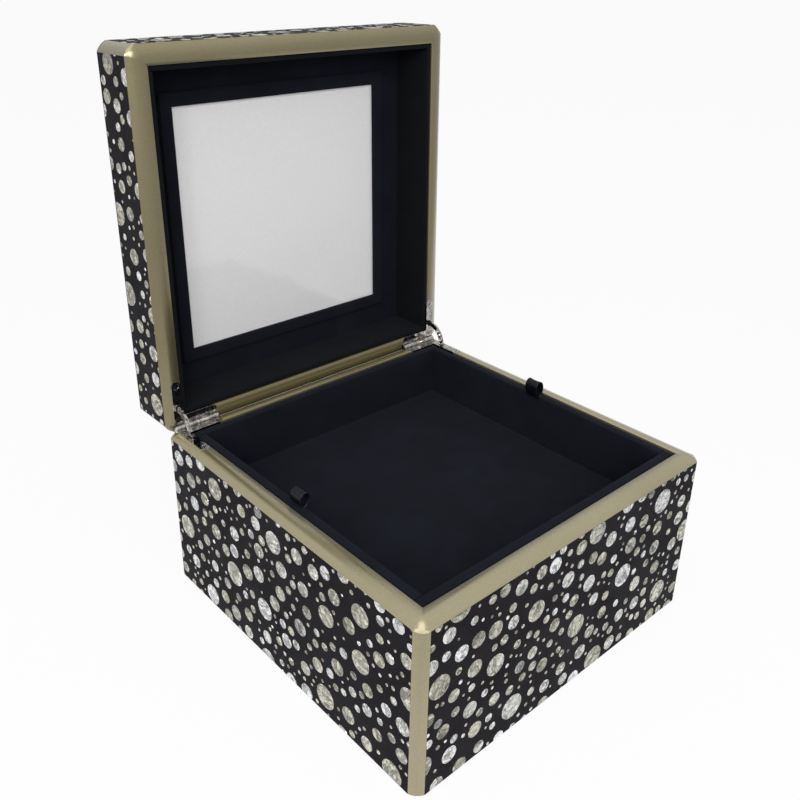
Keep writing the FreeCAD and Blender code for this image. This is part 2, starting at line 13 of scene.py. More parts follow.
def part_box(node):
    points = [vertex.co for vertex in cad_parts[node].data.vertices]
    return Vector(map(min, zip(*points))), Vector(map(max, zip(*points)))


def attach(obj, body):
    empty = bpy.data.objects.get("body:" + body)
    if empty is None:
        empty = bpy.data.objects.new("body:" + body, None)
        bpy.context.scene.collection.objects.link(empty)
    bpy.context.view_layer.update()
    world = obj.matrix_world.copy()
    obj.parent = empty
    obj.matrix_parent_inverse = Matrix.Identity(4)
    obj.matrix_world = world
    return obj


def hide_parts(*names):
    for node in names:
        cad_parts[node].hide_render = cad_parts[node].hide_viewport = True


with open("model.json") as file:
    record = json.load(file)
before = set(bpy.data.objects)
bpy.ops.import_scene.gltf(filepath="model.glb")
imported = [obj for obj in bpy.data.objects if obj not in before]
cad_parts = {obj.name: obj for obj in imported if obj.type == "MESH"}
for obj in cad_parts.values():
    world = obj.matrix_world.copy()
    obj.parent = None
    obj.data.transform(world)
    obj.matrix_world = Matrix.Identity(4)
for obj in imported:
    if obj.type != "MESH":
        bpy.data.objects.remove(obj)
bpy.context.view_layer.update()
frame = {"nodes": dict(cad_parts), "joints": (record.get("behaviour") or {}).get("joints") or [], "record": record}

MM = 0.001
nodes = frame["nodes"]
scene = bpy.context.scene
scene.view_settings.view_transform = "Standard"

SIDES = ("front", "right", "back", "left")
bodies = frame["record"]["behaviour"]["bodies"]
BODY = {node: body for body, members in bodies.items() for node in members}

# The lid stands open. Its pieces are made shut, where they are square, and then turned open.

hinge = next(joint for joint in frame["joints"] if joint["name"] == "lid_hinge")
to_axis = Matrix.Translation(hinge["pos_m"])
shutting = Matrix.Rotation(math.radians(hinge["range_deg"][1]), 4, Vector(hinge["axis"]))
TO_SHUT = to_axis @ shutting @ to_axis.inverted()
TO_OPEN = TO_SHUT.inverted()


def shut_points(node):
    turn = TO_SHUT if BODY[node] == "lid" else Matrix.Identity(4)
    return [turn @ vertex.co for vertex in nodes[node].data.vertices]


def shut_box(node):
    """Lowest and highest corner of a node with the lid shut."""
    points = shut_points(node)
    low = Vector([min(p[i] for p in points) for i in range(3)])
    high = Vector([max(p[i] for p in points) for i in range(3)])
    return low, high


# Node helpers

def add(tree, kind, **values):
    """A node whose inputs and settings take the named values, spaces written as underscores."""
    node = tree.nodes.new(kind)
    for key, value in values.items():
        socket = node.inputs.get(key.replace("_", " "))
        if socket is not None:
            socket.default_value = value
        else:
            setattr(node, key, value)
    return node


def colour(red, green, blue):
    """An sRGB colour, 0 to 255, as the renderer wants it."""
    def linear(value):
        value /= 255
        return value / 12.92 if value <= 0.04045 else ((value + 0.055) / 1.055) ** 2.4
    return linear(red), linear(green), linear(blue), 1.0


def effect(name, inputs, outputs):
    """An empty node group with named sockets, and its two ends."""
    tree = bpy.data.node_groups.new(name, "ShaderNodeTree")
    for label, kind, value in inputs:
        socket = tree.interface.new_socket(label, in_out="INPUT", socket_type=kind)
        if value is not None:
            socket.default_value = value
    for label, kind in outputs:
        tree.interface.new_socket(label, in_out="OUTPUT", socket_type=kind)
    return tree, tree.nodes.new("NodeGroupInput"), tree.nodes.new("NodeGroupOutput")


def place(tree, group, **values):
    """A group in a material, with its own values."""
    node = tree.nodes.new("ShaderNodeGroup")
    node.node_tree = group
    for key, value in values.items():
        node.inputs[key.replace("_", " ")].default_value = value
    return node


VECTOR, FLOAT, COLOR = "NodeSocketVector", "NodeSocketFloat", "NodeSocketColor"


def mottle_effect():
    """Two tones mixed by a fine and a broad noise."""
    tree, start, end = effect(
        "mottle",
        [("Place", VECTOR, None), ("Fine", FLOAT, 900), ("Broad", FLOAT, 20), ("Share", FLOAT, 0.5),
         ("Dark", COLOR, (0, 0, 0, 1)), ("Light", COLOR, (1, 1, 1, 1))],
        [("Tone", COLOR)])
    fine = add(tree, "ShaderNodeTexNoise", Detail=2)
    broad = add(tree, "ShaderNodeTexNoise", Detail=3)
    both = add(tree, "ShaderNodeMix", data_type="FLOAT")
    spread = add(tree, "ShaderNodeMapRange", From_Min=0.3, From_Max=0.7)
    tone = add(tree, "ShaderNodeMix", data_type="RGBA")
    join = tree.links.new
    join(start.outputs["Place"], fine.inputs["Vector"])
    join(start.outputs["Place"], broad.inputs["Vector"])
    join(start.outputs["Fine"], fine.inputs["Scale"])
    join(start.outputs["Broad"], broad.inputs["Scale"])
    join(start.outputs["Share"], both.inputs[0])
    join(fine.outputs["Fac"], both.inputs[2])
    join(broad.outputs["Fac"], both.inputs[3])
    join(both.outputs[0], spread.inputs["Value"])
    join(spread.outputs["Result"], tone.inputs[0])
    join(start.outputs["Dark"], tone.inputs[6])
    join(start.outputs["Light"], tone.inputs[7])
    join(tone.outputs[2], end.inputs["Tone"])
    return tree


def handling_effect():
    """Faint smears: a roughness between two limits."""
    tree, start, end = effect(
        "handling",
        [("Place", VECTOR, None), ("Scale", FLOAT, 30), ("Clean", FLOAT, 0.2), ("Smeared", FLOAT, 0.3)],
        [("Roughness", FLOAT)])
    smear = add(tree, "ShaderNodeTexNoise", Detail=4, Distortion=0.6)
    spread = add(tree, "ShaderNodeMapRange", From_Min=0.35, From_Max=0.7)
    join = tree.links.new
    join(start.outputs["Place"], smear.inputs["Vector"])
    join(start.outputs["Scale"], smear.inputs["Scale"])
    join(smear.outputs["Fac"], spread.inputs["Value"])
    join(start.outputs["Clean"], spread.inputs["To Min"])
    join(start.outputs["Smeared"], spread.inputs["To Max"])
    join(spread.outputs["Result"], end.inputs["Roughness"])
    return tree


def pile_effect():
    """Short fibres: a height for the bump, and patches where the nap lies differently."""
    tree, start, end = effect(
        "pile",
        [("Place", VECTOR, None), ("Fibre", FLOAT, 2600), ("Nap", FLOAT, 40), ("Lint", FLOAT, 260)],
        [("Height", FLOAT), ("Nap", FLOAT), ("Lint", FLOAT)])
    fibre = add(tree, "ShaderNodeTexNoise", Detail=3, Roughness=0.7)
    nap = add(tree, "ShaderNodeTexNoise", Detail=4, Distortion=0.8)
    spread = add(tree, "ShaderNodeMapRange", From_Min=0.3, From_Max=0.7)
    mixed = add(tree, "ShaderNodeMix", data_type="FLOAT", Factor=0.35)
    cells = add(tree, "ShaderNodeTexVoronoi", Randomness=1)
    speck = add(tree, "ShaderNodeMapRange", From_Min=0.035, From_Max=0.015)
    join = tree.links.new
    for texture, scale in ((fibre, "Fibre"), (nap, "Nap"), (cells, "Lint")):
        join(start.outputs["Place"], texture.inputs["Vector"])
        join(start.outputs[scale], texture.inputs["Scale"])
    join(nap.outputs["Fac"], spread.inputs["Value"])
    join(spread.outputs["Result"], mixed.inputs[2])
    join(fibre.outputs["Fac"], mixed.inputs[3])
    join(cells.outputs["Distance"], speck.inputs["Value"])
    join(fibre.outputs["Fac"], end.inputs["Height"])
    join(mixed.outputs[0], end.inputs["Nap"])
    join(speck.outputs["Result"], end.inputs["Lint"])
    return tree


def roll_effect():
    """A height that falls away towards the inner edge of a square rim."""
    tree, start, end = effect(
        "inner_roll",
        [("Place", VECTOR, None), ("Middle", VECTOR, (0, 0, 0)), ("Plane", VECTOR, (1, 1, 0)),
         ("Begin", FLOAT, 0.1), ("Bend", FLOAT, 70)],
        [("Height", FLOAT)])
    from_middle = add(tree, "ShaderNodeVectorMath", operation="SUBTRACT")
    in_plane = add(tree, "ShaderNodeVectorMath", operation="MULTIPLY")
    size = add(tree, "ShaderNodeVectorMath", operation="ABSOLUTE")
    parts = add(tree, "ShaderNodeSeparateXYZ")
    wider = add(tree, "ShaderNodeMath", operation="MAXIMUM")
    widest = add(tree, "ShaderNodeMath", operation="MAXIMUM")
    depth = add(tree, "ShaderNodeMath", operation="SUBTRACT")
    inner = add(tree, "ShaderNodeMath", operation="MAXIMUM")
    square = add(tree, "ShaderNodeMath", operation="POWER")
    height = add(tree, "ShaderNodeMath", operation="MULTIPLY")
    fall = add(tree, "ShaderNodeMath", operation="SUBTRACT")
    inner.inputs[1].default_value = 0
    square.inputs[1].default_value = 2
    fall.inputs[0].default_value = 0
    join = tree.links.new
    join(start.outputs["Place"], from_middle.inputs[0])
    join(start.outputs["Middle"], from_middle.inputs[1])
    join(from_middle.outputs["Vector"], in_plane.inputs[0])
    join(start.outputs["Plane"], in_plane.inputs[1])
    join(in_plane.outputs["Vector"], size.inputs[0])
    join(size.outputs["Vector"], parts.inputs[0])
    join(parts.outputs["X"], wider.inputs[0])
    join(parts.outputs["Y"], wider.inputs[1])
    join(wider.outputs[0], widest.inputs[0])
    join(parts.outputs["Z"], widest.inputs[1])
    join(start.outputs["Begin"], depth.inputs[0])
    join(widest.outputs[0], depth.inputs[1])
    join(depth.outputs[0], inner.inputs[0])
    join(inner.outputs[0], square.inputs[0])
    join(square.outputs[0], height.inputs[0])
    join(start.outputs["Bend"], height.inputs[1])
    join(height.outputs[0], fall.inputs[1])
    join(fall.outputs[0], end.inputs["Height"])
    return tree


MOTTLE = mottle_effect()
HANDLING = handling_effect()
PILE = pile_effect()
ROLL = roll_effect()


# Finishes

def finish(name, **values):
    """A material with one Principled shader, whose plain sockets take the named values."""
    material = bpy.data.materials.new(name)
    material.use_nodes = True
    tree = material.node_tree
    shader = tree.nodes["Principled BSDF"]
    for key, value in values.items():
        shader.inputs[key.replace("_", " ")].default_value = value
    where = add(tree, "ShaderNodeTexCoord").outputs["Object"]
    return material, tree, shader, where


def toned(tree, shader, where, dark, light, fine, broad, share):
    mottle = place(tree, MOTTLE, Fine=fine, Broad=broad, Share=share, Dark=dark, Light=light)
    tree.links.new(where, mottle.inputs["Place"])
    tree.links.new(mottle.outputs["Tone"], shader.inputs["Base Color"])
    return mottle.outputs["Tone"]


def painted_crevice_shade(tree, shader, tone, reach, shade_colour):
    """Painted shade in narrow gaps: the tone goes over to a dark shade colour where another surface is near."""
    gap = add(tree, "ShaderNodeAmbientOcclusion", samples=8, Distance=reach)
    open_share = add(tree, "ShaderNodeMapRange", From_Min=0.25, From_Max=0.8)
    mixed = add(tree, "ShaderNodeMix", data_type="RGBA")
    mixed.inputs[6].default_value = shade_colour
    tree.links.new(gap.outputs["AO"], open_share.inputs["Value"])
    tree.links.new(open_share.outputs["Result"], mixed.inputs[0])
    tree.links.new(tone, mixed.inputs[7])
    tree.links.new(mixed.outputs[2], shader.inputs["Base Color"])


def handled(tree, shader, where, scale, clean, smeared):
    handling = place(tree, HANDLING, Scale=scale, Clean=clean, Smeared=smeared)
    tree.links.new(where, handling.inputs["Place"])
    tree.links.new(handling.outputs["Roughness"], shader.inputs["Roughness"])


def raised(tree, shader, height, strength, depth, over=None):
    """A bump, if asked for over another one's normal."""
    bump = add(tree, "ShaderNodeBump", Strength=strength, Distance=depth)
    tree.links.new(height, bump.inputs["Height"])
    if over:
        tree.links.new(over, bump.inputs["Normal"])
    tree.links.new(bump.outputs["Normal"], shader.inputs["Normal"])
    return bump.outputs["Normal"]


def lacquer_finish(name, dark, light, middle, plane):
    """Satin lacquer, drawn over the rims' inner edges."""
    material, tree, shader, where = finish(name, Metallic=0.7, Coat_Weight=1.0, Coat_Roughness=0.12)
    toned(tree, shader, where, dark, light, 1400, 14, 0.35)
    handled(tree, shader, where, 22, 0.27, 0.35)
    peel = add(tree, "ShaderNodeTexNoise", Scale=420, Detail=1)
    tree.links.new(where, peel.inputs["Vector"])
    roll = place(tree, ROLL, Middle=middle, Plane=plane, Begin=RIM_ROLL, Bend=RIM_BEND)
    tree.links.new(where, roll.inputs["Place"])
    rolled = raised(tree, shader, roll.outputs["Height"], 1.0, 1.0)
    raised(tree, shader, peel.outputs["Fac"], 0.08, 0.05 * MM, over=rolled)
    return material


def sheet_finish():
    material, tree, shader, where = finish("dotted_sheet", Specular_IOR_Level=0.03)
    toned(tree, shader, where, colour(23, 21, 25), colour(34, 31, 36), 1700, 30, 0.4)
    handled(tree, shader, where, 45, 0.45, 0.6)
    grain = add(tree, "ShaderNodeTexVoronoi", Scale=1900)
    tree.links.new(where, grain.inputs["Vector"])
    raised(tree, shader, grain.outputs["Distance"], 0.25, 0.05 * MM)
    return material


def glitter_finish():
    """Crushed foil in each dot: facets with their own tilt, painted glints that brighten facets and flakes,
    painted shade along facet seams, every dot its own tone.
    """
    material, tree, shader, where = finish("glitter_dots", Metallic=0.8, Specular_IOR_Level=0.7)
    most_turn = 40
    stretch = (1.0, 0.65, 0.38)
    facet_scale, flake_scale = 520, 1500
    brightest = 0.95
    join = tree.links.new
    geometry = add(tree, "ShaderNodeNewGeometry")
    angle = add(tree, "ShaderNodeMath", operation="MULTIPLY")
    angle.inputs[1].default_value = most_turn
    join(geometry.outputs["Random Per Island"], angle.inputs[0])
    turned = add(tree, "ShaderNodeVectorRotate", Axis=(0.6, 0.5, 0.62))
    join(where, turned.inputs["Vector"])
    join(angle.outputs[0], turned.inputs["Angle"])
    drawn = add(tree, "ShaderNodeVectorMath", operation="MULTIPLY")
    drawn.inputs[1].default_value = stretch
    join(turned.outputs["Vector"], drawn.inputs[0])
    bend = add(tree, "ShaderNodeTexNoise", Scale=260, Detail=2)
    join(where, bend.inputs["Vector"])
    bend_size = add(tree, "ShaderNodeVectorMath", operation="SCALE", Scale=2.2 * MM)
    join(bend.outputs["Color"], bend_size.inputs[0])
    bent = add(tree, "ShaderNodeVectorMath", operation="ADD")
    join(drawn.outputs["Vector"], bent.inputs[0])
    join(bend_size.outputs["Vector"], bent.inputs[1])
    facets = add(tree, "ShaderNodeTexVoronoi", Scale=facet_scale)
    flakes = add(tree, "ShaderNodeTexVoronoi", Scale=flake_scale)
    seams = add(tree, "ShaderNodeTexVoronoi", feature="DISTANCE_TO_EDGE", Scale=facet_scale)
    for texture in (facets, flakes, seams):
        join(bent.outputs["Vector"], texture.inputs["Vector"])

    dot_tone = add(tree, "ShaderNodeValToRGB")
    stops = dot_tone.color_ramp
    stops.elements[0].color = colour(172, 173, 170)
    stops.elements[1].color = colour(244, 246, 248)
    for at, tone in ((0.12, colour(182, 178, 161)), (0.55, colour(203, 200, 185))):
        stops.elements.new(at).color = tone
    join(geometry.outputs["Random Per Island"], dot_tone.inputs["Fac"])

    facet_parts = add(tree, "ShaderNodeSeparateColor")
    join(facets.outputs["Color"], facet_parts.inputs["Color"])
    flake_parts = add(tree, "ShaderNodeSeparateColor")
    join(flakes.outputs["Color"], flake_parts.inputs["Color"])
    # Painted glints and shade: each facet and flake is made lighter or darker in colour as if catching the light,
    # and facet seams darker.
    facet_painted_glint = add(tree, "ShaderNodeMapRange", To_Min=0.42, To_Max=1.7)
    join(facet_parts.outputs["Red"], facet_painted_glint.inputs["Value"])
    flake_painted_glint = add(tree, "ShaderNodeMapRange", To_Min=0.65, To_Max=1.15)
    join(flake_parts.outputs["Red"], flake_painted_glint.inputs["Value"])
    seam_painted_shade = add(tree, "ShaderNodeMapRange", From_Max=0.14, To_Min=0.5, To_Max=1.0)
    join(seams.outputs["Distance"], seam_painted_shade.inputs["Value"])
    level = add(tree, "ShaderNodeMath", operation="MULTIPLY")
    join(facet_painted_glint.outputs["Result"], level.inputs[0])
    join(flake_painted_glint.outputs["Result"], level.inputs[1])
    level_all = add(tree, "ShaderNodeMath", operation="MULTIPLY")
    join(level.outputs[0], level_all.inputs[0])
    join(seam_painted_shade.outputs["Result"], level_all.inputs[1])
    shown = add(tree, "ShaderNodeVectorMath", operation="SCALE")
    join(dot_tone.outputs["Color"], shown.inputs[0])
    join(level_all.outputs[0], shown.inputs["Scale"])
    kept = add(tree, "ShaderNodeVectorMath", operation="MINIMUM")
    join(shown.outputs["Vector"], kept.inputs[0])
    kept.inputs[1].default_value = (brightest, brightest, brightest)
    join(kept.outputs["Vector"], shader.inputs["Base Color"])

    rough = add(tree, "ShaderNodeMapRange", To_Min=0.14, To_Max=0.45)
    join(facet_parts.outputs["Green"], rough.inputs["Value"])
    join(rough.outputs["Result"], shader.inputs["Roughness"])

    lean = add(tree, "ShaderNodeMix", data_type="VECTOR", Factor=0.35)
    join(facets.outputs["Color"], lean.inputs[4])
    join(flakes.outputs["Color"], lean.inputs[5])
    centred = add(tree, "ShaderNodeVectorMath", operation="SUBTRACT")
    join(lean.outputs[1], centred.inputs[0])
    centred.inputs[1].default_value = (0.5, 0.5, 0.5)
    lean_size = add(tree, "ShaderNodeVectorMath", operation="SCALE", Scale=1.1)
    join(centred.outputs["Vector"], lean_size.inputs[0])
    tilted = add(tree, "ShaderNodeVectorMath", operation="ADD")
    join(geometry.outputs["Normal"], tilted.inputs[0])
    join(lean_size.outputs["Vector"], tilted.inputs[1])
    unit = add(tree, "ShaderNodeVectorMath", operation="NORMALIZE")
    join(tilted.outputs["Vector"], unit.inputs[0])
    join(unit.outputs["Vector"], shader.inputs["Normal"])
    return material


def pile_finish(name, dark, light, fibre, nap, bump, lint, **values):
    """Velvet and felt: nap patches, fibre bump and a little lint."""
    material, tree, shader, where = finish(name, Roughness=0.95, Specular_IOR_Level=0.12, **values)
    pile = place(tree, PILE, Fibre=fibre, Nap=nap)
    tree.links.new(where, pile.inputs["Place"])
    tone = add(tree, "ShaderNodeMix", data_type="RGBA")
    tone.inputs[6].default_value = dark
    tone.inputs[7].default_value = light
    tree.links.new(pile.outputs["Nap"], tone.inputs[0])
    linted = add(tree, "ShaderNodeMix", data_type="RGBA")
    linted.inputs[7].default_value = lint
    tree.links.new(tone.outputs[2], linted.inputs[6])
    tree.links.new(pile.outputs["Lint"], linted.inputs[0])
    tree.links.new(linted.outputs[2], shader.inputs["Base Color"])
    raised(tree, shader, pile.outputs["Height"], bump, 0.3 * MM)
    return material


def velvet_finish(name, dark, light, lint, sheen):
    return pile_finish(
        name, dark, light, 2600, 34, 0.5, lint,
        Sheen_Weight=sheen, Sheen_Roughness=0.45, Sheen_Tint=colour(145, 150, 165))


def satin_finish():
    """Ribbon: fine weft threads across it and a soft bright band."""
    material, tree, shader, where = finish("satin_ribbon", Specular_IOR_Level=0.25, Anisotropic=0.5)
    toned(tree, shader, where, colour(9, 11, 16), colour(18, 21, 29), 900, 60, 0.5)
    handled(tree, shader, where, 120, 0.3, 0.4)
    threads = add(tree, "ShaderNodeTexWave", bands_direction="Y", Scale=900, Distortion=0.5)
    tree.links.new(where, threads.inputs["Vector"])
    raised(tree, shader, threads.outputs["Fac"], 0.2, 0.05 * MM)
    return material


def mirror_finish():
    """Silvered glass drawn as a nearly plain pale surface: its pale tone is a painted reflection of light
    surroundings, with a faint real reflection over it.
    """
    material, tree, shader, where = finish(
        "mirror_glass", Metallic=0.03, Coat_Weight=0.1, Coat_Roughness=0.02)
    # Painted reflection: these pale tones stand in for the light surroundings a mirror would show.
    toned(tree, shader, where, colour(237, 235, 236), colour(242, 240, 241), 500, 6, 0.2)
    handled(tree, shader, where, 14, 0.03, 0.08)
    return material


def hinge_finish():
    material, tree, shader, where = finish("polished_hinge", Metallic=1.0)
    # Painted reflection: dark and bright patches in the metal's tone stand in for glints and reflected dark
    # surroundings.
    tone = toned(tree, shader, where, colour(66, 63, 61), colour(226, 222, 217), 700, 260, 0.4)
    # Painted shade: the hinge's tone darkens to near black where another surface is within reach.
    painted_crevice_shade(tree, shader, tone, 1.5 * MM, colour(14, 13, 14))
    handled(tree, shader, where, 260, 0.04, 0.12)
    dents = add(tree, "ShaderNodeTexNoise", Scale=520, Detail=1)
    tree.links.new(where, dents.inputs["Vector"])
    raised(tree, shader, dents.outputs["Fac"], 0.5, 0.16 * MM)
    return material


def board_finish():
    """Bare fibreboard, where no lining or sheet covers it."""
    material, tree, shader, where = finish("inner_board", Specular_IOR_Level=0.2)
    toned(tree, shader, where, colour(112, 86, 60), colour(150, 122, 90), 700, 40, 0.6)
    handled(tree, shader, where, 60, 0.75, 0.9)
    fibres = add(tree, "ShaderNodeTexNoise", Scale=1500, Detail=3)
    tree.links.new(where, fibres.inputs["Vector"])
    raised(tree, shader, fibres.outputs["Fac"], 0.3, 0.1 * MM)
    return material


# The rims' inner edges: how far in the roll begins, and how sharply it falls

base_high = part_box("base_right_board")[1]
lid_low, lid_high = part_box("lid_left_board")
lid_middle = (0, 0, (lid_low.z + lid_high.z) / 2)
RIM_FLAT = 7.6 * MM
RIM_ROLL = base_high.x - RIM_FLAT
RIM_BEND = 62

LACQUER = {
    "base": lacquer_finish(
        "base_lacquer", colour(148, 139, 106), colour(166, 157, 124), (0, 0, 0), (1, 1, 0)),
    # The lid's copy of the same lacquer is toned darker: painted shade on the lid's faces.
    "lid": lacquer_finish(
        "lid_lacquer_shaded", colour(126, 117, 84), colour(142, 133, 99), lid_middle, (1, 0, 1)),
}
SHEET = sheet_finish()
GLITTER = glitter_finish()
VELVET = velvet_finish("navy_velvet", colour(15, 17, 24), colour(24, 27, 36), colour(50, 53, 60), 0.1)
# The lid's copy of the same velvet is toned darker with less sheen: painted shade on the lid's lining.
LID_VELVET_SHADED = velvet_finish("lid_velvet_shaded", colour(11, 12, 15), colour(18, 19, 24), colour(44, 46, 52), 0.06)
FELT = pile_finish(
    "underside_felt", colour(14, 14, 15), colour(26, 26, 28), 1800, 60, 0.8, colour(60, 60, 62),
    Sheen_Weight=0.1, Sheen_Roughness=0.6)
SATIN = satin_finish()
MIRROR = mirror_finish()
HINGE = hinge_finish()
BOARD = board_finish()


# Pieces that keep their solid: a finish, and edges eased as the tool or the lacquer leaves them

BOARD_EASE = 0.15 * MM
TOP_EASE = 0.2 * MM
LEAF_EASE = 0.25 * MM
PIN_EASE = 0.1 * MM
STAY_EASE = 0.2 * MM
SCREW_EASE = 0.2 * MM
WELD_REACH = 0.005 * MM
EASE_ANGLE = 40


def dress(node, material, ease):
    piece = nodes[node]
    piece.data.materials.clear()
    piece.data.materials.append(material)
    if ease:
        weld = piece.modifiers.new("weld", "WELD")
        weld.merge_threshold = WELD_REACH
        bevel = piece.modifiers.new("eased_edges", "BEVEL")
        bevel.width = ease
        bevel.segments = 2
        bevel.limit_method = "ANGLE"
        bevel.angle_limit = math.radians(EASE_ANGLE)
        bevel.use_clamp_overlap = True
        shading = piece.modifiers.new("shading", "WEIGHTED_NORMAL")
        shading.keep_sharp = True


for case in ("base", "lid"):
    for side in SIDES:
        dress("%s_%s_board" % (case, side), LACQUER[case], BOARD_EASE)
        dress("%s_%s_veneer" % (case, side), SHEET, None)
dress("lid_top_veneer", SHEET, TOP_EASE)
dress("base_bottom_board", BOARD, None)
dress("lid_top_board", BOARD, None)
dress("mirror", MIRROR, None)
for hand in ("right", "left"):
    dress(hand + "_base_leaf", HINGE, LEAF_EASE)
    dress(hand + "_lid_leaf", HINGE, LEAF_EASE)
    dress(hand + "_hinge_pin", HINGE, PIN_EASE)
    dress(hand + "_stay", HINGE, STAY_EASE)
dress("base_hinge_screws", HINGE, SCREW_EASE)
dress("lid_hinge_screws", HINGE, SCREW_EASE)


# New pieces

def make_piece(name, mesh_data, body, material, sharp=40):
    """A mesh drawn with the lid shut becomes a piece that rides on its body."""
    points, faces = mesh_data
    mesh = bpy.data.meshes.new(name)
    mesh.from_pydata(points, [], faces)
    if body == "lid":
        mesh.transform(TO_OPEN)
    mesh.validate()
    mesh.polygons.foreach_set("use_smooth", [True] * len(mesh.polygons))
    mesh.set_sharp_from_angle(angle=math.radians(sharp))
    mesh.materials.append(material)
    piece = bpy.data.objects.new(name, mesh)
    scene.collection.objects.link(piece)
    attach(piece, body)
    return piece


# Glitter dots: share of the sheet covered, least and greatest radius, points round, height of the dome

DOT_CLASSES = (
    (0.09, 6.6 * MM, 8.6 * MM, 36, 0.20 * MM),
    (0.18, 4.0 * MM, 5.6 * MM, 28, 0.18 * MM),
    (0.085, 2.3 * MM, 3.5 * MM, 20, 0.14 * MM),
    (0.025, 0.9 * MM, 1.6 * MM, 12, 0.10 * MM),
)
DOT_GAP = 1.3 * MM
DOT_TRIES = 14
DOT_SEAT = 0.03 * MM
DOT_LEAST = 0.5 * MM
DOT_PAST_SHARE = 0.5
DOT_PROFILE = ((1.0, 0.0), (0.95, 0.7), (0.82, 0.95), (0.4, 1.0))
CORNER_CUT = 6.4 * MM


def scatter(width, height, rng):
    """Dots spread evenly, the largest first: each takes the roomiest of a few places."""
    dots = []
    for share, small, large, points, dome in DOT_CLASSES:
        mean_area = math.pi * (small * small + small * large + large * large) / 3
        wanted = round(share * width * height / mean_area)
        for _ in range(wanted):
            radius = rng.uniform(small, large)
            past = DOT_PAST_SHARE * radius
            room, best = 0, None
            for _ in range(DOT_TRIES):
                u = rng.uniform(-past, width + past)
                v = rng.uniform(-past, height + past)
                gaps = (math.hypot(u - a, v - b) - r for a, b, r, _, _ in dots)
                clear = min(gaps, default=width) - radius
                if clear > room:
                    room, best = clear, (u, v)
            if room > DOT_GAP:
                dots.append((*best, radius, points, dome))
    return dots


def clipped(outline, polygon):
    """The part of a convex polygon inside a convex outline, both counter-clockwise."""
    for i, start in enumerate(outline):
        end = outline[(i + 1) % len(outline)]
        edge = end - start

        def inside(p):
            return edge.x * (p.y - start.y) - edge.y * (p.x - start.x)
        kept = []
        for j, point in enumerate(polygon):
            before = polygon[j - 1]
            here, there = inside(point), inside(before)
            if (here >= 0) != (there >= 0):
                kept.append(before.lerp(point, there / (there - here)))
            if here >= 0:
                kept.append(point)
        polygon = kept
        if len(polygon) < 3:
            return []
    return polygon


def dot_mesh(origin, along, up, outline, rng):
    """Thin domes over a flat sheet: along and up are the sheet's own directions."""
    out = along.cross(up)
    width = max(p.x for p in outline)
    height = max(p.y for p in outline)
    points, faces = [], []
    for u, v, radius, count, dome in scatter(width, height, rng):
        turn = rng.uniform(0, math.tau)
        ring = [Vector((u + radius * math.cos(turn + math.tau * k / count),
                        v + radius * math.sin(turn + math.tau * k / count))) for k in range(count)]
        ring = clipped(outline, ring)
        if not ring:
            continue
        middle = sum(ring, Vector((0, 0))) / len(ring)
        if max((p - middle).length for p in ring) < DOT_LEAST:
            continue
        size = len(ring)
        first = len(points)
        for share, rise in DOT_PROFILE:
            for p in ring:
                q = middle.lerp(p, share)
                points.append(origin + along * q.x + up * q.y + out * (dome * rise - DOT_SEAT))
        points.append(origin + along * middle.x + up * middle.y + out * (dome - DOT_SEAT))
        for level in range(len(DOT_PROFILE) - 1):
            for k in range(size):
                a, b = first + level * size + k, first + level * size + (k + 1) % size
                faces.append((a, b, b + size, a + size))
        last = first + (len(DOT_PROFILE) - 1) * size
        faces.extend((last + k, last + (k + 1) % size, len(points) - 1) for k in range(size))
    return points, faces


def rectangle(width, height):
    return [Vector(p) for p in ((0, 0), (width, 0), (width, height), (0, height))]


def cut_rectangle(width, height, cut):
    """A rectangle without its corners."""
    return [Vector(p) for p in (
        (cut, 0), (width - cut, 0), (width, cut), (width, height - cut),
        (width - cut, height), (cut, height), (0, height - cut), (0, cut))]


X, Y, Z = Vector((1, 0, 0)), Vector((0, 1, 0)), Vector((0, 0, 1))
FACES = {"front": (X, Z), "right": (Y, Z), "back": (-X, Z), "left": (-Y, Z), "top": (X, Y)}


def sheet_dots(case, face, seed):
    low, high = shut_box("%s_%s_veneer" % (case, face))
    along, up = FACES[face]
    out = along.cross(up)
    middle, size = (low + high) / 2, high - low
    width, height = abs(size.dot(along)), abs(size.dot(up))
    origin = middle + out * abs(size.dot(out)) / 2 - along * width / 2 - up * height / 2
    outline = cut_rectangle(width, height, CORNER_CUT) if face == "top" else rectangle(width, height)
    mesh_data = dot_mesh(origin, along, up, outline, random.Random(seed))
    make_piece("%s_%s_dots" % (case, face), mesh_data, case, GLITTER, sharp=60)


for seed, side in enumerate(SIDES, start=11):
    sheet_dots("base", side, seed)
    sheet_dots("lid", side, seed + 20)
sheet_dots("lid", "top", 51)


# Boards wrapped in velvet

BOARD_GRID = 9 * MM
RIPPLE = 0.12 * MM
PAD_RIPPLE = 0.2 * MM
RIPPLE_SCALE = 45
RIPPLE_SINK = 0.6
ROUND_SHARE = 0.48
MERGE_REACH = 0.002 * MM
FRAME_STEPS = 20
BASE_LINER_ROUND = 0.8 * MM
LID_LINER_ROUND = 0.9 * MM
TRAY_WALL_ROUND = 1.2 * MM
TRAY_FLOOR_ROUND = 0.5 * MM
TRAY_PAD_ROUND = 0.45 * MM
BASE_FLOOR_ROUND = 0.6 * MM
CEILING_ROUND = 0.3 * MM
MIRROR_FRAME_ROUND = 0.9 * MM


def fitting_round(radius, half):
    """The edge radius, as far as the thickness has room for it."""
    return min(radius, ROUND_SHARE * 2 * half)


def grid_lines(half, radius):
    """Places across a board, closer together where its edge is rounded."""
    steps = max(1, round(2 * (half - radius) / BOARD_GRID))
    flat = [-half + radius + 2 * (half - radius) * k / steps for k in range(steps + 1)]
    bend = [half - radius * (1 - share) for share in (0.35, 0.7, 1.0)]
    return [-b for b in reversed(bend)] + flat + bend


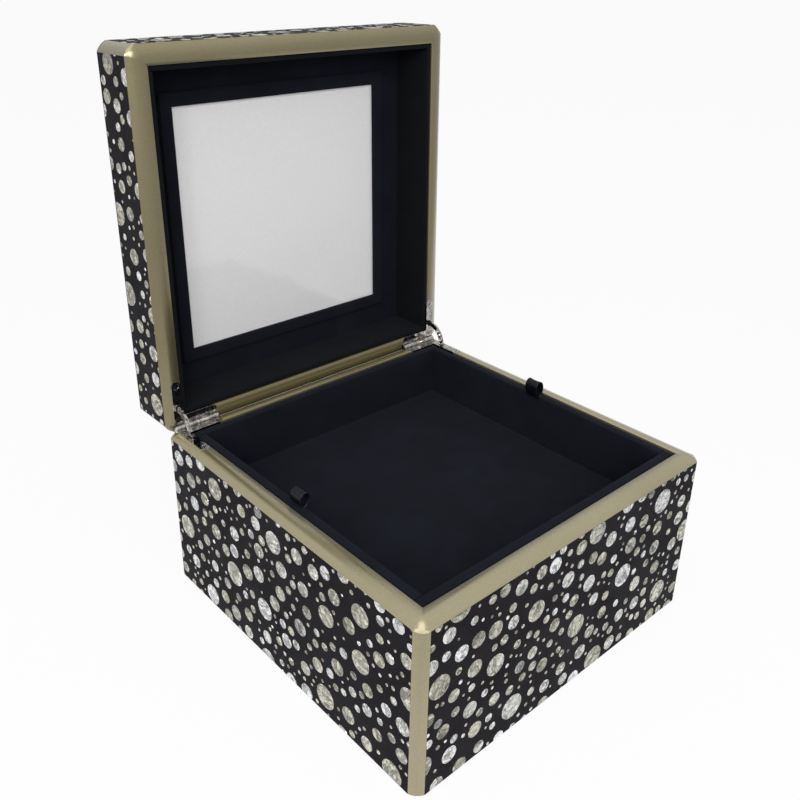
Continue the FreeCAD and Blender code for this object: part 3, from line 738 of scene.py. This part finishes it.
def wrapped_box(low, high, radius, ripple):
    """A box with rounded edges, and faces that wander a little as cloth over board does."""
    middle, half = (low + high) / 2, (high - low) / 2
    lines = [grid_lines(half[i], fitting_round(radius, half[i])) for i in range(3)]
    core = [half[i] - fitting_round(radius, half[i]) for i in range(3)]
    shape = bmesh.new()
    for axis in range(3):
        first, second = (axis + 1) % 3, (axis + 2) % 3
        for sign in (-1, 1):
            rows = []
            for a in lines[first]:
                row = []
                for b in lines[second]:
                    point = Vector((0, 0, 0))
                    point[axis], point[first], point[second] = sign * half[axis], a, b
                    inner = Vector([max(-core[i], min(core[i], point[i])) for i in range(3)])
                    bulge = (point - inner).normalized() * (half[axis] - core[axis])
                    spot = inner + bulge + middle
                    wander = noise.noise(spot * RIPPLE_SCALE) - RIPPLE_SINK
                    row.append(shape.verts.new(spot + bulge.normalized() * ripple * wander))
                rows.append(row)
            for i in range(len(rows) - 1):
                for j in range(len(rows[i]) - 1):
                    quad = (rows[i][j], rows[i + 1][j], rows[i + 1][j + 1], rows[i][j + 1])
                    shape.faces.new(quad if sign > 0 else quad[::-1])
    bmesh.ops.remove_doubles(shape, verts=shape.verts, dist=MERGE_REACH)
    shape.verts.index_update()
    points = [v.co.copy() for v in shape.verts]
    faces = [[v.index for v in f.verts] for f in shape.faces]
    shape.free()
    return points, faces


def wrapped_board(node, radius, material=VELVET, ripple=RIPPLE):
    low, high = shut_box(node)
    mesh_data = wrapped_box(low, high, radius, ripple)
    piece = make_piece(node + "_velvet", mesh_data, BODY[node], material, sharp=80)
    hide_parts(node)
    return piece


def wrapped_frame(node, radius):
    """A flat frame wrapped in velvet, mitred at its corners."""
    low, high = shut_box(node)
    middle, half = (low + high) / 2, (high - low) / 2
    points = shut_points(node)
    opening = [min(abs(p[i] - middle[i]) for p in points) for i in range(2)]
    band = half.x - opening[0]
    thick = half.z
    radius = fitting_round(radius, thick)
    near, far, top = radius, band - radius, thick - radius
    profile = []
    for centre_d, centre_z, start in ((far, top, 0), (near, top, 90), (near, -top, 180), (far, -top, 270)):
        for k in range(4):
            angle = math.radians(start + 30 * k)
            profile.append((centre_d + radius * math.cos(angle), centre_z + radius * math.sin(angle)))
    ring_points, faces = [], []
    for d, z in profile:
        x, y = opening[0] + d, opening[1] + d
        corners = [Vector((x, -y, z)), Vector((x, y, z)), Vector((-x, y, z)), Vector((-x, -y, z))]
        for i, corner in enumerate(corners):
            for k in range(FRAME_STEPS):
                ring_points.append(middle + corner.lerp(corners[(i + 1) % 4], k / FRAME_STEPS))
    size, count = 4 * FRAME_STEPS, len(profile)
    for i in range(count):
        for k in range(size):
            a, b = i * size, (i + 1) % count * size
            after = (k + 1) % size
            faces.append((a + k, a + after, b + after, b + k))
    mesh_data = (ring_points, faces)
    piece = make_piece(node + "_velvet", mesh_data, BODY[node], VELVET, sharp=50)
    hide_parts(node)
    return piece


for side in SIDES:
    wrapped_board("base_%s_liner" % side, BASE_LINER_ROUND)
    wrapped_board("lid_%s_liner" % side, LID_LINER_ROUND, material=LID_VELVET_SHADED)
    wrapped_board("tray_%s_wall" % side, TRAY_WALL_ROUND)
wrapped_board("tray_floor", TRAY_FLOOR_ROUND)
wrapped_board("tray_floor_pad", TRAY_PAD_ROUND, ripple=PAD_RIPPLE)
wrapped_board("base_floor_liner", BASE_FLOOR_ROUND, ripple=PAD_RIPPLE)
wrapped_frame("lid_ceiling_liner", CEILING_ROUND)
wrapped_frame("mirror_frame", MIRROR_FRAME_ROUND)


# Felt on the underside

FELT_EDGE = 0.25 * MM


def felt_mesh(low, high, cut, edge):
    """A thin sheet with cut corners and softened edges."""
    width, depth = high.x - low.x, high.y - low.y
    outline = cut_rectangle(width, depth, cut)
    middle = Vector((width / 2, depth / 2))
    levels = ((low.z, edge), (low.z + edge, 0), (high.z - edge, 0), (high.z, edge))
    points = []
    for z, inset in levels:
        for p in outline:
            q = p + (middle - p).normalized() * inset
            points.append((low.x + q.x, low.y + q.y, z))
    size = len(outline)
    faces = [tuple(reversed(range(size))), tuple(3 * size + k for k in range(size))]
    for level in range(3):
        for k in range(size):
            a, b = level * size + k, level * size + (k + 1) % size
            faces.append((a, b, b + size, a + size))
    return points, faces


felt_low, felt_high = shut_box("base_felt")
felt_data = felt_mesh(felt_low, felt_high, CORNER_CUT, FELT_EDGE)
felt = make_piece("base_felt_sheet", felt_data, "base", FELT)
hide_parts("base_felt")


# Pull ribbons: a folded loop whose two ends are tucked in behind the tray's lining

RIBBON_WIDTH = 10 * MM
RIBBON_THICK = 0.5 * MM
RIBBON_ROUND = 44
RIBBON_ACROSS = 10
RIBBON_TUCK = 1.4 * MM
RIBBON_LEAN = 1.0 * MM
RIBBON_SET_BACK = 0.3 * MM
RIBBON_CURL = 0.25 * MM
RIBBON_WAVER = 0.12 * MM
RIGHT_BELLY = 4.4 * MM
RIGHT_LIFT = 1.0 * MM
LEFT_BELLY = 3.6 * MM


def ribbon_mesh(wall_face, wall_top, top, inward, belly):
    """A loop standing on the tray's wall and leaning inward, drawn as a strip along Y."""
    height = top - wall_top + RIBBON_TUCK
    line = []
    for k in range(RIBBON_ROUND + 1):
        t = math.tau * k / RIBBON_ROUND
        rise = (1 - math.cos(t)) / 2
        swing = belly * math.sin(t) * math.sin(t / 2) ** 0.6
        x = wall_face + inward * (RIBBON_LEAN * rise + swing - RIBBON_SET_BACK)
        line.append(Vector((x, 0, wall_top - RIBBON_TUCK + height * rise)))
    points, faces = [], []
    for k, p in enumerate(line):
        before, after = line[max(k - 1, 0)], line[min(k + 1, RIBBON_ROUND)]
        along = (after - before).normalized()
        normal = Vector((along.z, 0, -along.x))
        for j in range(RIBBON_ACROSS + 1):
            share = 2 * j / RIBBON_ACROSS - 1
            waver = RIBBON_WAVER * noise.noise(Vector((k * 0.3, j * 0.5, inward)))
            curl = RIBBON_CURL * share ** 4 + waver
            points.append(p + normal * curl * inward + Vector((0, RIBBON_WIDTH / 2 * share, 0)))
    row = RIBBON_ACROSS + 1
    for k in range(RIBBON_ROUND):
        for j in range(RIBBON_ACROSS):
            a = k * row + j
            faces.append((a, a + 1, a + row + 1, a + row))
    length = sum((line[k + 1] - line[k]).length for k in range(RIBBON_ROUND))
    return (points, faces), length


def pull_ribbon(hand, side, belly, lift):
    wall_low, wall_high = shut_box("tray_%s_wall" % hand)
    ribbon_top = shut_box(hand + "_pull_ribbon")[1].z
    wall_face = wall_low.x if side > 0 else wall_high.x
    mesh_data, length = ribbon_mesh(wall_face, wall_high.z, ribbon_top + lift, -side, belly)
    ribbon = make_piece(hand + "_ribbon_loop", mesh_data, "tray", SATIN, sharp=80)
    solid = ribbon.modifiers.new("cloth", "SOLIDIFY")
    solid.thickness = RIBBON_THICK
    solid.offset = 0
    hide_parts(hand + "_pull_ribbon")


pull_ribbon("right", 1, RIGHT_BELLY, RIGHT_LIFT)
pull_ribbon("left", -1, LEFT_BELLY, 0)


# Studio: a pale paper floor that greys off in front, a pale surround and soft lamps

FLOOR_REACH = 30.0
FLOOR_DROP = 0.2 * MM
FLOOR_WHITE = 0.92
FLOOR_GREY = 0.6
# Each fade: its direction, and how far along it the paper is grey and white
FLOOR_FADES = (((-0.43, 0.9, 0), -0.5, -0.24), ((0.66, 0.75, 0), -0.44, -0.17))


def seen_rays(tree):
    """1 for rays from the camera, from reflections and through glass."""
    rays = add(tree, "ShaderNodeLightPath")
    either = add(tree, "ShaderNodeMath", operation="MAXIMUM")
    any_of = add(tree, "ShaderNodeMath", operation="MAXIMUM")
    tree.links.new(rays.outputs["Is Camera Ray"], either.inputs[0])
    tree.links.new(rays.outputs["Is Glossy Ray"], either.inputs[1])
    tree.links.new(either.outputs[0], any_of.inputs[0])
    tree.links.new(rays.outputs["Is Transmission Ray"], any_of.inputs[1])
    return any_of.outputs[0]


def paper_tone(tree):
    """White under and behind the box, grey well in front of it."""
    where = add(tree, "ShaderNodeTexCoord").outputs["Object"]
    both = add(tree, "ShaderNodeMath", operation="MULTIPLY")
    for i, (way, grey_at, white_at) in enumerate(FLOOR_FADES):
        along = add(tree, "ShaderNodeVectorMath", operation="DOT_PRODUCT")
        along.inputs[1].default_value = way
        fade = add(tree, "ShaderNodeMapRange", From_Min=grey_at, From_Max=white_at)
        fade.interpolation_type = "SMOOTHSTEP"
        tree.links.new(where, along.inputs[0])
        tree.links.new(along.outputs["Value"], fade.inputs["Value"])
        tree.links.new(fade.outputs["Result"], both.inputs[i])
    tone = add(tree, "ShaderNodeMapRange", To_Min=FLOOR_GREY, To_Max=1.0)
    tree.links.new(both.outputs[0], tone.inputs["Value"])
    return tone.outputs["Result"]


def studio_floor():
    mesh = bpy.data.meshes.new("floor")
    corners = [(-1, -1), (1, -1), (1, 1), (-1, 1)]
    mesh.from_pydata([(x * FLOOR_REACH, y * FLOOR_REACH, 0) for x, y in corners], [], [(0, 1, 2, 3)])
    floor = bpy.data.objects.new("floor", mesh)
    floor.location.z = -FLOOR_DROP
    scene.collection.objects.link(floor)
    material = bpy.data.materials.new("floor_paper")
    material.use_nodes = True
    tree = material.node_tree
    tree.nodes.clear()
    output = add(tree, "ShaderNodeOutputMaterial")
    paper = add(tree, "ShaderNodeBsdfDiffuse")
    glow = add(tree, "ShaderNodeEmission", Strength=1.0)
    part = add(tree, "ShaderNodeMath", operation="MULTIPLY")
    part.inputs[1].default_value = FLOOR_WHITE
    mix = add(tree, "ShaderNodeMixShader")
    tone = paper_tone(tree)
    join = tree.links.new
    join(tone, paper.inputs["Color"])
    join(tone, glow.inputs["Color"])
    join(seen_rays(tree), part.inputs[0])
    join(part.outputs[0], mix.inputs[0])
    join(paper.outputs[0], mix.inputs[1])
    join(glow.outputs[0], mix.inputs[2])
    join(mix.outputs[0], output.inputs["Surface"])
    mesh.materials.append(material)


def studio_surround(strength, horizon):
    """Even light all round, which the camera and reflections see as pale, whiter towards the top."""
    world = bpy.data.worlds.new("surround")
    scene.world = world
    world.use_nodes = True
    tree = world.node_tree
    tree.nodes.clear()
    output = add(tree, "ShaderNodeOutputWorld")
    light = add(tree, "ShaderNodeBackground", Color=(0.98, 0.99, 1.0, 1), Strength=strength)
    white = add(tree, "ShaderNodeBackground", Color=(1, 1, 1, 1))
    axes = add(tree, "ShaderNodeSeparateXYZ")
    rise = add(tree, "ShaderNodeMapRange", From_Min=0.25, From_Max=0.75, To_Min=horizon, To_Max=1.0)
    mix = add(tree, "ShaderNodeMixShader")
    join = tree.links.new
    join(add(tree, "ShaderNodeTexCoord").outputs["Generated"], axes.inputs[0])
    join(axes.outputs["Z"], rise.inputs["Value"])
    join(rise.outputs["Result"], white.inputs["Strength"])
    join(seen_rays(tree), mix.inputs[0])
    join(light.outputs[0], mix.inputs[1])
    join(white.outputs[0], mix.inputs[2])
    join(mix.outputs[0], output.inputs["Surface"])


def lamp(name, place_at, look_at, size, power):
    data = bpy.data.lights.new(name, "AREA")
    data.shape = "SQUARE"
    data.size = size
    data.energy = power
    light = bpy.data.objects.new(name, data)
    light.location = place_at
    light.rotation_euler = (Vector(look_at) - Vector(place_at)).to_track_quat("-Z", "Y").to_euler()
    scene.collection.objects.link(light)


studio_floor()
studio_surround(0.4, FLOOR_GREY)
lamp("overhead", (-0.3, -0.2, 1.5), (0, 0, 0.12), 0.8, 4)
lamp("front_key", (-0.95, -1.05, 1.0), (0, 0, 0.15), 0.9, 17)


# Camera, as the photograph was taken

PHOTO_PIXELS = 800
FOCAL_PIXELS = 882.6
AXIS_PIXEL = (382.6, 337.5)


def photo_camera():
    azimuth, elevation, roll = math.radians(-41.26), math.radians(23.86), math.radians(0.61)
    target = Vector((-6.3, 40.8, 179.7)) * MM
    distance = 579.8 * MM
    focal_share = FOCAL_PIXELS / PHOTO_PIXELS
    back = Vector((
        math.sin(azimuth) * math.cos(elevation),
        -math.cos(azimuth) * math.cos(elevation),
        math.sin(elevation)))
    level = Vector((math.cos(azimuth), math.sin(azimuth), 0))
    upright = back.cross(level)
    right = level * math.cos(roll) + upright * math.sin(roll)
    up = upright * math.cos(roll) - level * math.sin(roll)
    data = bpy.data.cameras.new("photo_camera")
    data.sensor_width = 36
    data.lens = data.sensor_width * focal_share
    data.shift_x = (PHOTO_PIXELS / 2 - AXIS_PIXEL[0]) / PHOTO_PIXELS
    data.shift_y = (AXIS_PIXEL[1] - PHOTO_PIXELS / 2) / PHOTO_PIXELS
    data.clip_start = 10 * MM
    camera = bpy.data.objects.new("photo_camera", data)
    turn = Matrix((right, up, back)).transposed().to_4x4()
    camera.matrix_world = Matrix.Translation(target + back * distance) @ turn
    scene.collection.objects.link(camera)
    scene.camera = camera


photo_camera()
